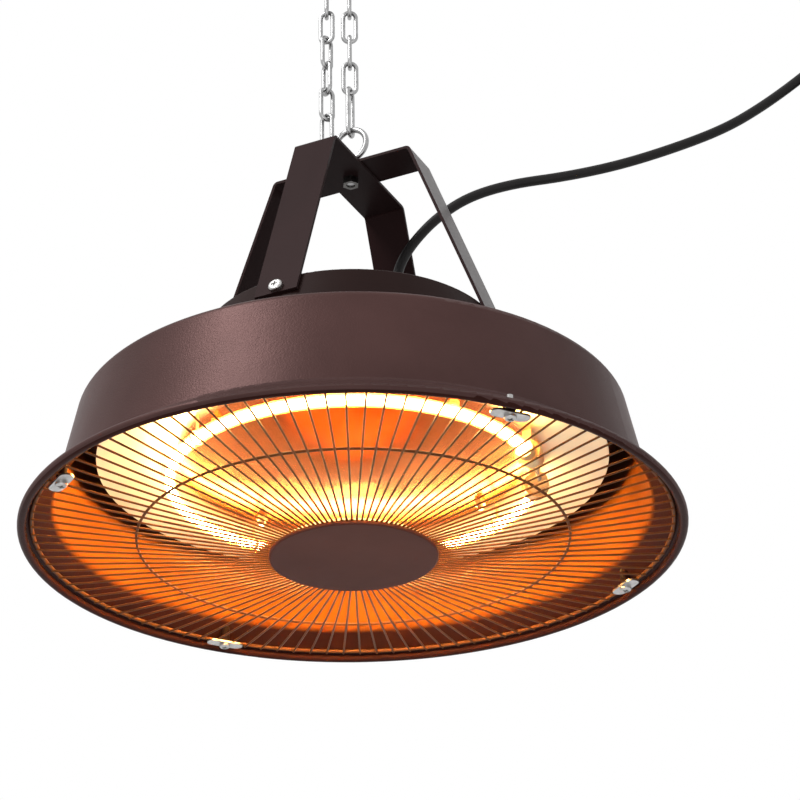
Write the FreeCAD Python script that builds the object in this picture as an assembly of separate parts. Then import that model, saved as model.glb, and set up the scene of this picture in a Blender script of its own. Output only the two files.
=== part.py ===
import FreeCAD, Part
import math
import os

# Hanging patio heater: a ring lamp under a reflector in a sheet-steel shade, with a wire guard below,
# two crossed strap bridges above, a doubled chain up to a ceiling plate and a mains lead with its plug.
# Heights are measured up from the plane of the rim; at the end everything is hung below the ceiling plate,
# whose top face is the origin. The straps lie along X and Y. Millimetres and degrees.

V = FreeCAD.Vector
UP = V(0, 0, 1)

# Shade
RIM_RADIUS = 212.5
BEAD_RADIUS = 3.0
SHADE_SHEET = 1.2
FLARE_WIDTH = 19.0
NECK_HEIGHT = 17.0
SHADE_TAPER = 14.0
SHADE_TOP_HEIGHT = 85.4
SHADE_BEND = 5.0
SHADE_HOLE_RADIUS = 40.0

# Top cap, a cone with the slope of the strap legs
CAP_TOP_RADIUS = 98.5
CAP_HEIGHT = 59.6
CAP_SHEET = 1.2
CAP_BEND = 1.0
CAP_FLANGE = 12.0
LEG_SPLAY = 20.5
CAP_SCREW_COUNT = 4
CAP_SCREW_START = 45.0

# Strap bridges
STRAP_WIDTH = 30.0
STRAP_THICKNESS = 2.0
STRAP_BEND = 2.0
BRIDGE_HEIGHT = 127.3
FOOT_DROP = 15.8
FOOT_SCREW_INSET = 5.0

# Fasteners: thread diameter, head diameter, head height, nut width, nut height
M4 = (4.0, 7.6, 2.6, 7.0, 3.2)
M5 = (5.0, 9.6, 3.2, 8.0, 4.0)
M6 = (6.0, 11.0, 3.6, 10.0, 5.0)
HOLE_CLEARANCE = 0.2
SEAT_GAP = 0.05
SCREW_TAIL = 3.0
HEAD_ROUND = 1.5
RECESS_DEPTH = 1.2
RECESS_LENGTH = 4.4
RECESS_SLOT = 1.1

# How far a cutting tool runs past the sheet that it cuts
CUT_MARGIN = 2.0

# Eye bolt
EYE_RADIUS = 12.0
EYE_WIRE = 4.0
EYE_RISE = 27.5
EYE_BOLT_RECESS = 1.0

# Chain: two strands in a plane turned from the straps; the free one twists a little at each link
CHAIN_AZIMUTH = 26.8
LINK_WIRE = 3.0
LINK_WIDTH = 12.0
LINK_INNER = 22.2
CONNECTOR_INNER = 35.4
CONNECTOR_TURN = 69.0
LINK_GAP = 0.5
LINK_COUNT = 4
FREE_STRAND_SHIFT = -16.2
FREE_STRAND_TWIST = -20.0
FREE_END_TURNS = (27.0, -40.0)

# Ceiling side
HANGER_WIRE = 4.0
HANGER_HALF_WIDTH = 34.0
HANGER_RISE = 45.2
HANGER_BEND = 6.0
LOOP_WIRE = 5.0
LOOP_HALF_WIDTH = 9.0
LOOP_BEND = 5.4
LOOP_DROP = 13.0
PLATE_RADIUS = 40.0
PLATE_THICKNESS = 3.0
PLATE_HOLE_CIRCLE = 30.0
PLATE_HOLE_RADIUS = 2.75
PLATE_HOLE_COUNT = 4

# Reflector: a flat ring over the lamp, a shallow cone inside it and a rim that turns down
REFLECTOR_INSET = 25.5
REFLECTOR_DEPTH = 4.4
REFLECTOR_SHEET = 0.8
REFLECTOR_BEND = 8.0
VALLEY_INNER = 92.0
VALLEY_OUTER = 126.0
VALLEY_BEND = 120.0
CONE_RADIUS = 12.0
CONE_DEPTH = 8.0
CONE_BEND = 100.0
SPACER_CIRCLE = 105.0
SPACER_RADIUS = 5.0
SPACER_LENGTH = 26.0
SPACER_COUNT = 4
SPACER_START = 63.0

# Lamp
LAMP_RADIUS = 118.0
LAMP_DROP = 15.4
LAMP_TUBE = 8.5
LAMP_WALL = 0.8
FILAMENT = 5.5
LAMP_GAP_AZIMUTH = 18.4
LAMP_GAP = 33.0
END_CAP_LENGTH = 20.0
END_CAP_RADIUS = 6.0
HOLDER_WALL = 2.5
HOLDER_WIDTH = 6.0
HOLDER_OFFSET = 9.0
SUPPORT_WALL = 0.8
SUPPORT_WIDTH = 1.6
SUPPORT_POST = 1.6
SUPPORT_CLEARANCE = 0.1
SUPPORT_AZIMUTHS = (62.0, 152.0, 242.0)

# Inside the cap
SHIELD_RADIUS = 96.0
SHIELD_SHEET = 1.0
SHIELD_LIFT = 7.0
SHIELD_HOLE = 20.0
POST_CIRCLE = 76.0
POST_RADIUS = 4.0
POST_COUNT = 4
BLOCK_LENGTH = 42.0
BLOCK_WIDTH = 20.0
BLOCK_HEIGHT = 16.0
TERMINAL_SPACING = 32.0
TERMINAL_ROWS = 12.0
TERMINAL_DEPTH = 4.0
TERMINAL_SCREW_LENGTH = 3.0
CUTOUT_RADIUS = 8.0
CUTOUT_HEIGHT = 9.0
CUTOUT_FLANGE = 24.0
CUTOUT_SHEET = 1.0
CUTOUT_CIRCLE = 52.0
CUTOUT_AZIMUTH = 157.0
EARTH_CIRCLE = 57.0
EARTH_AZIMUTH = 219.0
EARTH_LENGTH = 7.0
LEAD_DIAMETER = 2.6
LEAD_SPREAD = 7.0
LEAD_DROP = 4.8
LEAD_WELL = 12.0
LEAD_STUB = 2.5
LEAD_TURN = 4.0
LEAD_BEND = 5.0
BUSH_RADIUS = 3.4
BUSH_FLANGE = 4.6
BUSH_FLANGE_HEIGHT = 3.0

# Guard
GUARD_INSET = 9.0
GUARD_RING_WIRE = 2.5
GUARD_RING_CLEARANCE = 0.1
GUARD_MIDDLE_RADIUS = 137.6
GUARD_MIDDLE_WIRE = 1.8
GUARD_WIRE = 1.4
GUARD_WIRE_COUNT = 108
GUARD_WELD = 0.5
GUARD_INNER_RADIUS = 49.0
GUARD_INNER_HEIGHT = -8.3
DISC_RADIUS = 54.0
DISC_SHEET = 1.0
DISC_FACE = -11.0
DISC_BEND = 0.5
RETAINER_RADIUS = 50.0
RETAINER_SHEET = 1.2
STUD_RADIUS = 2.0
STUD_COLLAR = 3.6
STUD_HEAD = 1.0
STUD_CIRCLE = 38.0
STUD_COUNT = 3

# Guard clips, counted round in spaces between the guard's wires
CLIP_LENGTH = 26.0
CLIP_WIDTH = 9.0
CLIP_SHEET = 1.2
CLIP_INSET = 14.5
CLIP_START = 50.7
CLIP_SPACES = (0, 28, 55, 82)
CLIP_SCREW_TAIL = 1.5
BOSS_RADIUS = 3.4
WIRE_CLEARANCE = 0.25

# Mains lead
CABLE_DIAMETER = 7.0
CABLE_HEADING = 26.8
CABLE_OFFSET = 30.0
GLAND_ALONG = 30.0
GLAND_RADIUS = 8.0
GLAND_HEX = 22.0
GLAND_HEX_HEIGHT = 5.0
GLAND_DOME_RADIUS = 10.0
GLAND_DOME_HEIGHT = 11.0
GLAND_DOME_BEND = 3.0
GLAND_NUT_HEIGHT = 5.0
GLAND_THREAD = 11.0
SLEEVE_HEIGHT = 30.0
SLEEVE_BASE_RADIUS = 6.5
SLEEVE_TIP_RADIUS = 4.6

# Free stretch of the lead, from the sleeve's tip: along its heading and up from the rim plane
CABLE_ROUTE = [
    (30.0, 209.0), (35.0, 226.0), (45.5, 243.0), (61.0, 260.5), (83.0, 276.5), (113.0, 286.5),
    (150.0, 292.0), (190.0, 301.5), (232.0, 316.5), (266.0, 331.5), (292.0, 348.5), (319.5, 370.2),
]
ROUTE_BEND_SHARE = 0.45

# Put-away coil
COIL_ALONG = 377.0
COIL_HEIGHT = 356.0
COIL_RADIUS = 49.0
COIL_HEADING = 42.0
TURN_PITCH = 7.8
INWARD_QUARTER_COUNT = 8
OUTWARD_QUARTER_COUNT = 9
TIE_WIDTH = 12.0
TIE_THICKNESS = 1.5
TIE_CLEARANCE = 0.6
TIE_LOOP_RADIUS = 9.0
TIE_LOOP_HOLE = 6.0
TIE_LOOP_THICKNESS = 3.0

# Plug
PLUG_SLEEVE_LENGTH = 40.0
PLUG_SLEEVE_RADIUS = 7.0
PLUG_RADIUS = 18.0
PLUG_LENGTH = 36.0
PLUG_BEND = 3.0
PIN_RADIUS = 2.4
PIN_LENGTH = 19.0
PIN_SPACING = 19.0
PIN_BEND = 1.0

# Places that follow from the sizes above
NECK_RADIUS = RIM_RADIUS - BEAD_RADIUS - FLARE_WIDTH
SHADE_TOP_RADIUS = NECK_RADIUS - SHADE_TAPER
SHADE_TOP_UNDERSIDE = SHADE_TOP_HEIGHT - SHADE_SHEET
GUARD_RADIUS = RIM_RADIUS - GUARD_INSET
CLIP_CIRCLE = RIM_RADIUS - CLIP_INSET
WIRE_ANGLE = 360.0 / GUARD_WIRE_COUNT
REFLECTOR_RIM_RADIUS = NECK_RADIUS - REFLECTOR_INSET
VALLEY_TOP = SHADE_TOP_UNDERSIDE - SPACER_LENGTH
VALLEY_HEIGHT = VALLEY_TOP - REFLECTOR_SHEET
LAMP_HEIGHT = VALLEY_HEIGHT - LAMP_DROP
LEAD_LEVEL = SHADE_TOP_UNDERSIDE - LEAD_DROP
CAP_TOP_HEIGHT = SHADE_TOP_HEIGHT + CAP_HEIGHT
FOOT_HEIGHT = CAP_TOP_HEIGHT - FOOT_DROP
STRAP_UNDERSIDE = CAP_TOP_HEIGHT + BRIDGE_HEIGHT
STRAPS_TOP = STRAP_UNDERSIDE + 2 * STRAP_THICKNESS
EYE_HEIGHT = STRAP_UNDERSIDE + EYE_RISE
SLOPE = math.tan(math.radians(LEG_SPLAY))
CAP_BASE_RADIUS = CAP_TOP_RADIUS + (CAP_HEIGHT - CAP_SHEET) * SLOPE
LINK_REACH = LINK_INNER + LINK_WIRE
CONNECTOR_REACH = CONNECTOR_INNER + LINK_WIRE
EYE_BOLT_END = STRAP_UNDERSIDE - M6[4] + EYE_BOLT_RECESS
EYE_TOP = EYE_HEIGHT + EYE_RADIUS
CONNECTOR_BOTTOM = EYE_TOP - (EYE_WIRE + LINK_WIRE) / 2 - LINK_GAP
CONNECTOR_TOP = CONNECTOR_BOTTOM + CONNECTOR_REACH
LINK_STEP = LINK_REACH - LINK_WIRE - LINK_GAP
LINK_BOTTOMS = [CONNECTOR_TOP - LINK_WIRE - LINK_GAP + LINK_STEP * i for i in range(LINK_COUNT)]
HANGER_LEVEL = LINK_BOTTOMS[-1] + LINK_REACH - (LINK_WIRE + HANGER_WIRE) / 2 - LINK_GAP
LOOP_LEVEL = HANGER_LEVEL + HANGER_RISE - (HANGER_WIRE + LOOP_WIRE) / 2 - LINK_GAP
PLATE_UNDERSIDE = LOOP_LEVEL + LOOP_DROP
CEILING = PLATE_UNDERSIDE + PLATE_THICKNESS
SHIELD_UNDERSIDE = SHADE_TOP_HEIGHT + SHIELD_LIFT
SHIELD_TOP = SHIELD_UNDERSIDE + SHIELD_SHEET
BLOCK_TOP = SHIELD_TOP + BLOCK_HEIGHT
GLAND_TOP = CAP_TOP_HEIGHT + GLAND_HEX_HEIGHT + GLAND_DOME_HEIGHT
SLEEVE_TIP = GLAND_TOP + SLEEVE_HEIGHT

# A flat nut inside the cone stands off by the rise of the curved wall across its corners
NUT_STAND_OFF = (M5[3] / math.sqrt(3)) ** 2 / (2 * (CAP_TOP_RADIUS - CAP_SHEET)) + SEAT_GAP


def polar(radius, azimuth, height=0.0):
    """Point at a radius, an azimuth in degrees and a height."""
    a = math.radians(azimuth)
    return V(radius * math.cos(a), radius * math.sin(a), height)


def turned(shape, azimuth):
    """Copy of a shape, turned about the vertical axis."""
    copy = shape.copy()
    copy.rotate(V(), UP, azimuth)
    return copy


def ring_of(shape, count, start=0.0):
    """Copies of a shape spaced evenly about the vertical axis."""
    return [turned(shape, start + 360.0 * i / count) for i in range(count)]


def cylinder(radius, bottom, top, at=V()):
    """Upright cylinder between two heights."""
    return Part.makeCylinder(radius, top - bottom, V(at.x, at.y, bottom))


def washer(radius, hole, bottom, top, at=V()):
    """Upright ring with a round hole."""
    return cylinder(radius, bottom, top, at).cut(cylinder(hole, bottom, top, at))


def screw_hole(size, bottom, top, at=V()):
    """Upright cylinder for a screw's clearance hole, run past the sheet on both sides."""
    return cylinder(size[0] / 2 + HOLE_CLEARANCE, bottom - CUT_MARGIN, top + CUT_MARGIN, at)


def hexagon(width, bottom, top, at=V()):
    """Upright hexagonal prism of a width across flats."""
    corner = width / math.sqrt(3)
    points = [V(at.x, at.y, bottom) + polar(corner, 60 * i) for i in range(7)]
    return Part.Face(Part.makePolygon(points)).extrude(V(0, 0, top - bottom))


def box(length, width, bottom, top, at=V()):
    """Upright box centred on a point."""
    return Part.makeBox(length, width, top - bottom, V(at.x - length / 2, at.y - width / 2, bottom))


def corner_arc(before, corner, after, radius):
    """Start, middle and end of the arc that rounds a corner."""
    a = (before - corner).normalize()
    b = (after - corner).normalize()
    half = a.getAngle(b) / 2
    reach = radius / math.tan(half)
    centre = corner + (a + b).normalize() * (radius / math.sin(half))
    middle = centre + (corner - centre).normalize() * radius
    return corner + a * reach, middle, corner + b * reach


def bent_edges(points, radii):
    """Straight runs joined by tangent arcs, one radius for each inner point."""
    edges = []
    last = points[0]
    for before, corner, after, radius in zip(points, points[1:], points[2:], radii):
        start, middle, end = corner_arc(before, corner, after, radius)
        edges.append(Part.makeLine(last, start))
        edges.append(Part.Arc(start, middle, end).toShape())
        last = end
    edges.append(Part.makeLine(last, points[-1]))
    return edges


def closed_edges(points, radius):
    """Closed loop of straight runs with rounded corners."""
    count = len(points)
    arcs = [corner_arc(points[i - 1], points[i], points[(i + 1) % count], radius) for i in range(count)]
    edges = []
    for arc, following in zip(arcs, arcs[1:] + arcs[:1]):
        edges.append(Part.Arc(*arc).toShape())
        edges.append(Part.makeLine(arc[2], following[0]))
    return edges


def tube(edges, diameter):
    """Round bar or cord along a path of edges."""
    start = edges[0].valueAt(edges[0].FirstParameter)
    along = edges[0].tangentAt(edges[0].FirstParameter)
    section = Part.Wire(Part.makeCircle(diameter / 2, start, along))
    return Part.Wire(edges).makePipeShell([section], True, False)


def offset_line(points, distance):
    """Outline moved sideways in the XZ plane, with mitred corners."""
    normals = []
    for a, b in zip(points, points[1:]):
        along = (b - a).normalize()
        normals.append(V(-along.z, 0, along.x))
    moved = [points[0] + normals[0] * distance]
    for point, n1, n2 in zip(points[1:], normals, normals[1:]):
        moved.append(point + (n1 + n2) * (distance / (1 + n1.dot(n2))))
    moved.append(points[-1] + normals[-1] * distance)
    return moved


def bend_signs(points):
    """One for each inner point: 1 where the outline turns to its left, -1 to its right."""
    signs = []
    for a, b, c in zip(points, points[1:], points[2:]):
        first = b - a
        second = c - b
        signs.append(math.copysign(1, second.x * -first.z + second.z * first.x))
    return signs


def sheet_section(points, bends, thickness):
    """Face of a bent sheet; the outline given is its right side, and the sheet lies to the left."""
    corners = [V(x, 0, z) for x, z in points]
    signs = bend_signs(corners)
    right = bent_edges(corners, [r + (thickness if s > 0 else 0) for r, s in zip(bends, signs)])
    left_radii = [r + (0 if s > 0 else thickness) for r, s in zip(bends, signs)]
    left = bent_edges(offset_line(corners, thickness), left_radii)
    start = Part.makeLine(right[0].Vertexes[0].Point, left[0].Vertexes[0].Point)
    end = Part.makeLine(right[-1].Vertexes[-1].Point, left[-1].Vertexes[-1].Point)
    return Part.Face(Part.Wire(Part.__sortEdges__(right + left + [start, end])))


def spun(face):
    """Solid of revolution about the vertical axis."""
    return face.revolve(V(), UP, 360)


def upper_rim(shape, height):
    """Edges of a shape that lie wholly above a height."""
    return [e for e in shape.Edges if e.BoundBox.ZMin > height]


def pan_screw(size, length):
    """Pan-head cross-recess screw pointing down: the head's underside is at the origin."""
    thread, head, height = size[:3]
    shank = cylinder(thread / 2, -length, 0)
    cap = cylinder(head / 2, 0, height)
    cap = cap.makeFillet(HEAD_ROUND, upper_rim(cap, height / 2))
    slot = box(RECESS_LENGTH, RECESS_SLOT, height - RECESS_DEPTH, height)
    return shank.fuse(cap).cut(slot.fuse(turned(slot, 90))).removeSplitter()


def nut(size, bottom, at=V()):
    """Hexagon nut with its hole at the thread's size."""
    thread, width, height = size[0], size[3], size[4]
    hole = cylinder(thread / 2 + SEAT_GAP, bottom, bottom + height, at)
    return hexagon(width, bottom, bottom + height, at).cut(hole)


def aimed(shape, direction, at):
    """Copy of an upright shape, turned to point along a direction and moved to a place."""
    copy = shape.copy()
    copy.Placement = FreeCAD.Placement(at, FreeCAD.Rotation(UP, direction)).multiply(copy.Placement)
    return copy


# Shade

def flare_slope():
    """Rise of the flare for each millimetre that it comes in."""
    return (NECK_HEIGHT - BEAD_RADIUS) / FLARE_WIDTH


def flare_height(radius):
    """Height of the flare's inner face at a radius."""
    return BEAD_RADIUS + (RIM_RADIUS - BEAD_RADIUS - radius) * flare_slope()


def flare_rise(thickness):
    """Upright measure of a thickness taken square to the flare."""
    return thickness * math.hypot(1, flare_slope())


def plain_shade():
    """Spun shell with its rolled bead, before the holes for screws."""
    bead = V(RIM_RADIUS - BEAD_RADIUS, 0, BEAD_RADIUS)
    outline = [
        (SHADE_HOLE_RADIUS, SHADE_TOP_UNDERSIDE),
        (SHADE_TOP_RADIUS, SHADE_TOP_UNDERSIDE),
        (NECK_RADIUS, NECK_HEIGHT),
        (bead.x, bead.z),
    ]
    sheet = sheet_section(outline, [SHADE_BEND, SHADE_BEND], SHADE_SHEET)
    roll = Part.Face(Part.Wire(Part.makeCircle(BEAD_RADIUS, bead, V(0, -1, 0))))
    return spun(sheet.fuse(roll).removeSplitter().Faces[0])


def cap_screw_point():
    """Place of the first screw that holds the cap's flange."""
    return polar(CAP_BASE_RADIUS + CAP_FLANGE / 2, CAP_SCREW_START)


def shade():
    """Shade with the holes for the cap screws, the spacers, the shield posts and the clips."""
    holes = []
    for point, count in (
        (cap_screw_point(), CAP_SCREW_COUNT),
        (polar(SPACER_CIRCLE, SPACER_START), SPACER_COUNT),
        (polar(POST_CIRCLE, SPACER_START), POST_COUNT),
    ):
        holes += ring_of(screw_hole(M4, SHADE_TOP_UNDERSIDE, SHADE_TOP_HEIGHT, point), count)
    clip_hole = screw_hole(M4, flare_height(CLIP_CIRCLE), clip_screw_end(), polar(CLIP_CIRCLE, 0))
    return plain_shade().cut(holes + at_clips(clip_hole))


# Top cap and strap bridges

def leg_axis(azimuth):
    """Point on the cap's wall under a foot screw, and the wall's outward direction there."""
    splay = math.radians(LEG_SPLAY)
    along = V(math.sin(splay), 0, -math.cos(splay))
    outward = V(math.cos(splay), 0, math.sin(splay))
    foot = V(CAP_TOP_RADIUS + (CAP_TOP_HEIGHT - FOOT_HEIGHT) * SLOPE, 0, FOOT_HEIGHT)
    point = foot - along * FOOT_SCREW_INSET
    turn = FreeCAD.Rotation(UP, azimuth)
    return turn.multVec(point), turn.multVec(outward)


def foot_hole(azimuth):
    """Cylinder for a foot screw's hole through the strap and the cap's wall."""
    point, outward = leg_axis(azimuth)
    inside = CAP_SHEET + CUT_MARGIN
    outside = STRAP_THICKNESS + CUT_MARGIN
    return Part.makeCylinder(M5[0] / 2 + HOLE_CLEARANCE, inside + outside, point - outward * inside, outward)


def gland_point():
    """Place of the cable gland on the cap."""
    return cable_point(GLAND_ALONG, 0)


def top_cap():
    """Conical housing with an outward flange on the shade and a closed top."""
    outline = [
        (CAP_BASE_RADIUS + CAP_FLANGE, SHADE_TOP_HEIGHT + CAP_SHEET),
        (CAP_BASE_RADIUS, SHADE_TOP_HEIGHT + CAP_SHEET),
        (CAP_TOP_RADIUS, CAP_TOP_HEIGHT),
        (0.0, CAP_TOP_HEIGHT),
    ]
    body = spun(sheet_section(outline, [CAP_BEND, CAP_BEND], CAP_SHEET))
    holes = [foot_hole(90 * i) for i in range(4)]
    flange_hole = screw_hole(M4, SHADE_TOP_HEIGHT, SHADE_TOP_HEIGHT + CAP_SHEET, cap_screw_point())
    holes += ring_of(flange_hole, CAP_SCREW_COUNT)
    low = CAP_TOP_HEIGHT - CAP_SHEET - CUT_MARGIN
    holes.append(cylinder(GLAND_RADIUS + HOLE_CLEARANCE, low, CAP_TOP_HEIGHT + CUT_MARGIN, gland_point()))
    return body.cut(holes)


def leg_radius(height):
    """Distance from the axis to the inner face of a strap's leg."""
    stand_off = SEAT_GAP / math.cos(math.radians(LEG_SPLAY))
    return CAP_TOP_RADIUS + (CAP_TOP_HEIGHT - height) * SLOPE + stand_off


def strap(underside, azimuth):
    """Strap bent into a bridge, with its legs flat on the cap's wall."""
    outline = [
        (-leg_radius(FOOT_HEIGHT), FOOT_HEIGHT),
        (-leg_radius(underside), underside),
        (leg_radius(underside), underside),
        (leg_radius(FOOT_HEIGHT), FOOT_HEIGHT),
    ]
    section = sheet_section(outline, [STRAP_BEND, STRAP_BEND], STRAP_THICKNESS)
    section.translate(V(0, -STRAP_WIDTH / 2, 0))
    bar = section.extrude(V(0, STRAP_WIDTH, 0))
    bolt_hole = screw_hole(M6, underside, underside + STRAP_THICKNESS)
    return turned(bar.cut([foot_hole(0), foot_hole(180), bolt_hole]), azimuth)


def foot_fasteners():
    """Foot screws through the straps, and their nuts inside the cap."""
    screws = []
    nuts = []
    grip = STRAP_THICKNESS + 2 * SEAT_GAP
    screw = pan_screw(M5, grip + CAP_SHEET + M5[4] + SCREW_TAIL)
    lock = nut(M5, 0)
    for azimuth in (0, 90, 180, 270):
        point, outward = leg_axis(azimuth)
        screws.append(aimed(screw, outward, point + outward * grip))
        nuts.append(aimed(lock, outward, point - outward * (CAP_SHEET + M5[4] + NUT_STAND_OFF)))
    return screws, nuts


def cap_fasteners():
    """Screws through the cap's flange and their nuts under the shade's top."""
    point = cap_screw_point()
    screw = pan_screw(M4, CAP_SHEET + SHADE_SHEET + M4[4] + SCREW_TAIL)
    screw.translate(V(point.x, point.y, SHADE_TOP_HEIGHT + CAP_SHEET))
    lock = nut(M4, SHADE_TOP_UNDERSIDE - M4[4], point)
    return ring_of(screw, CAP_SCREW_COUNT), ring_of(lock, CAP_SCREW_COUNT)


# Eye bolt

def eye_bolt():
    """Bolt with a closed ring in the XZ plane; its end lies inside the lower nut."""
    ring = Part.makeTorus(EYE_RADIUS, EYE_WIRE / 2, V(0, 0, EYE_HEIGHT), V(0, 1, 0))
    shank = cylinder(M6[0] / 2, EYE_BOLT_END, EYE_HEIGHT - EYE_RADIUS)
    return ring.fuse(shank).removeSplitter()


def eye_nuts():
    """Nuts above the straps and below them."""
    return [nut(M6, STRAPS_TOP), nut(M6, STRAP_UNDERSIDE - M6[4])]


# Chain and ceiling fitting

def link(bottom, reach, turn, shift=0.0):
    """Welded chain link; its lowest wire is centred at a height, and its width lies at a turn in degrees."""
    half = (LINK_WIDTH - LINK_WIRE) / 2
    low = bottom + half
    high = bottom + reach - half
    side = polar(half, turn)
    middle = V(shift, 0, 0)
    edges = [
        Part.makeLine(middle + side + UP * low, middle + side + UP * high),
        Part.Arc(middle + side + UP * high, middle + UP * (high + half), middle - side + UP * high).toShape(),
        Part.makeLine(middle - side + UP * high, middle - side + UP * low),
        Part.Arc(middle - side + UP * low, middle + UP * (low - half), middle + side + UP * low).toShape(),
    ]
    return turned(tube(edges, LINK_WIRE), CHAIN_AZIMUTH)


def strand_links(indices):
    """The given links of both strands, counted up from the connecting link."""
    links = []
    for i in indices:
        turn = 90.0 * (i % 2)
        twist = FREE_STRAND_TWIST * (LINK_COUNT - 1 - i)
        links.append(link(LINK_BOTTOMS[i], LINK_REACH, turn))
        links.append(link(LINK_BOTTOMS[i], LINK_REACH, turn + twist, FREE_STRAND_SHIFT))
    return links


def end_links():
    """Long link that holds the eye, and the last links of the free strand."""
    links = [link(CONNECTOR_BOTTOM, CONNECTOR_REACH, CONNECTOR_TURN)]
    for i, turn in enumerate(FREE_END_TURNS):
        links.append(link(LINK_BOTTOMS[0] - LINK_STEP * (i + 1), LINK_REACH, turn, FREE_STRAND_SHIFT))
    return links


def hanger_ring():
    """Triangular ring whose straight side carries both strands."""
    corners = [
        V(-HANGER_HALF_WIDTH, 0, HANGER_LEVEL),
        V(HANGER_HALF_WIDTH, 0, HANGER_LEVEL),
        V(0, 0, HANGER_LEVEL + HANGER_RISE + apex_overshoot()),
    ]
    return turned(tube(closed_edges(corners, HANGER_BEND), HANGER_WIRE), CHAIN_AZIMUTH)


def apex_overshoot():
    """Height from the top of the rounded apex to the sharp corner of its two sides."""
    rise = HANGER_RISE - HANGER_BEND
    half = math.asin(HANGER_BEND / math.hypot(rise, HANGER_HALF_WIDTH)) + math.atan2(rise, HANGER_HALF_WIDTH)
    return HANGER_BEND / math.cos(half) - HANGER_BEND


def ceiling_loop():
    """Bent staple welded under the ceiling plate, square to the hanger ring."""
    points = [
        V(0, -LOOP_HALF_WIDTH, PLATE_UNDERSIDE),
        V(0, -LOOP_HALF_WIDTH, LOOP_LEVEL),
        V(0, LOOP_HALF_WIDTH, LOOP_LEVEL),
        V(0, LOOP_HALF_WIDTH, PLATE_UNDERSIDE),
    ]
    return turned(tube(bent_edges(points, [LOOP_BEND, LOOP_BEND]), LOOP_WIRE), CHAIN_AZIMUTH)


def ceiling_plate():
    """Round plate with its screw holes."""
    plate = cylinder(PLATE_RADIUS, PLATE_UNDERSIDE, CEILING)
    hole = cylinder(PLATE_HOLE_RADIUS, PLATE_UNDERSIDE, CEILING, polar(PLATE_HOLE_CIRCLE, 0))
    return plate.cut(ring_of(hole, PLATE_HOLE_COUNT))


# Reflector and lamp

def lead_points(side):
    """Places where a lamp lead passes the reflector and turns up in the middle."""
    turn = FreeCAD.Rotation(UP, LAMP_GAP_AZIMUTH)
    return [turn.multVec(V(radius, side * LEAD_SPREAD, 0)) for radius in (LAMP_RADIUS, LEAD_WELL)]


def reflector():
    """Spun dish: a flat ring over the lamp, a shallow cone in the middle and a rim turned down."""
    outline = [
        (0.0, VALLEY_HEIGHT - CONE_DEPTH),
        (CONE_RADIUS, VALLEY_HEIGHT - CONE_DEPTH),
        (VALLEY_INNER, VALLEY_HEIGHT),
        (VALLEY_OUTER, VALLEY_HEIGHT),
        (REFLECTOR_RIM_RADIUS, VALLEY_HEIGHT - REFLECTOR_DEPTH),
    ]
    dish = spun(sheet_section(outline, [CONE_BEND, VALLEY_BEND, REFLECTOR_BEND], REFLECTOR_SHEET))
    hole = screw_hole(M4, VALLEY_HEIGHT, VALLEY_TOP, polar(SPACER_CIRCLE, SPACER_START))
    holes = ring_of(hole, SPACER_COUNT)
    low = VALLEY_HEIGHT - CUT_MARGIN
    high = VALLEY_TOP + CUT_MARGIN
    holes += [cylinder(BUSH_RADIUS + SEAT_GAP, low, high, lead_points(side)[0]) for side in (-1, 1)]
    return dish.cut(holes)


def reflector_fasteners():
    """Spacers that hang the reflector under the shade, with their screws and nuts."""
    at = polar(SPACER_CIRCLE, SPACER_START)
    spacer = washer(SPACER_RADIUS, M4[0] / 2 + HOLE_CLEARANCE, VALLEY_TOP, SHADE_TOP_UNDERSIDE, at)
    screw = pan_screw(M4, SHADE_TOP_HEIGHT - VALLEY_HEIGHT + M4[4] + SCREW_TAIL)
    screw.translate(V(at.x, at.y, SHADE_TOP_HEIGHT))
    lock = nut(M4, VALLEY_HEIGHT - M4[4], at)
    return [ring_of(piece, SPACER_COUNT) for piece in (spacer, screw, lock)]


def lamp_arc(radius, gap):
    """Round bar bent along the lamp's circle, open by a gap in degrees."""
    start = LAMP_GAP_AZIMUTH + gap / 2
    section = Part.Face(Part.Wire(Part.makeCircle(radius, V(LAMP_RADIUS, 0, LAMP_HEIGHT), V(0, 1, 0))))
    section.rotate(V(), UP, start)
    return section.revolve(V(), UP, 360 - gap)


def lamp_tube():
    """Quartz tube, open at its ends."""
    return lamp_arc(LAMP_TUBE / 2, LAMP_GAP).cut(lamp_arc(LAMP_TUBE / 2 - LAMP_WALL, LAMP_GAP))


def lamp_end(side):
    """Middle of a tube's end face, and the direction from the tube into the gap."""
    azimuth = LAMP_GAP_AZIMUTH + side * LAMP_GAP / 2
    return polar(LAMP_RADIUS, azimuth, LAMP_HEIGHT), polar(1, azimuth - side * 90)


def lamp_end_caps():
    """Ceramic caps on the two ends of the tube."""
    caps = []
    for side in (-1, 1):
        at, into_gap = lamp_end(side)
        caps.append(Part.makeCylinder(END_CAP_RADIUS, END_CAP_LENGTH, at, into_gap))
    return caps


def hung_ring(at, along, hole, wall, width, post):
    """Ring round the lamp with a square post up to the reflector."""
    outside = Part.makeCylinder(hole + wall, width, at - along * (width / 2), along)
    leg = box(width, post, LAMP_HEIGHT, VALLEY_HEIGHT)
    leg.rotate(V(), UP, math.degrees(math.atan2(along.y, along.x)))
    leg.translate(V(at.x, at.y, 0))
    reach = width / 2 + CUT_MARGIN
    bore = Part.makeCylinder(hole, 2 * reach, at - along * reach, along)
    return outside.fuse(leg).cut(bore).removeSplitter()


def lamp_holders():
    """Brackets that carry the end caps under the reflector."""
    hole = END_CAP_RADIUS + SEAT_GAP
    holders = []
    for side in (-1, 1):
        at, into_gap = lamp_end(side)
        middle = at + into_gap * HOLDER_OFFSET
        holders.append(hung_ring(middle, into_gap, hole, HOLDER_WALL, HOLDER_WIDTH, HOLDER_WIDTH))
    return holders


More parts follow.
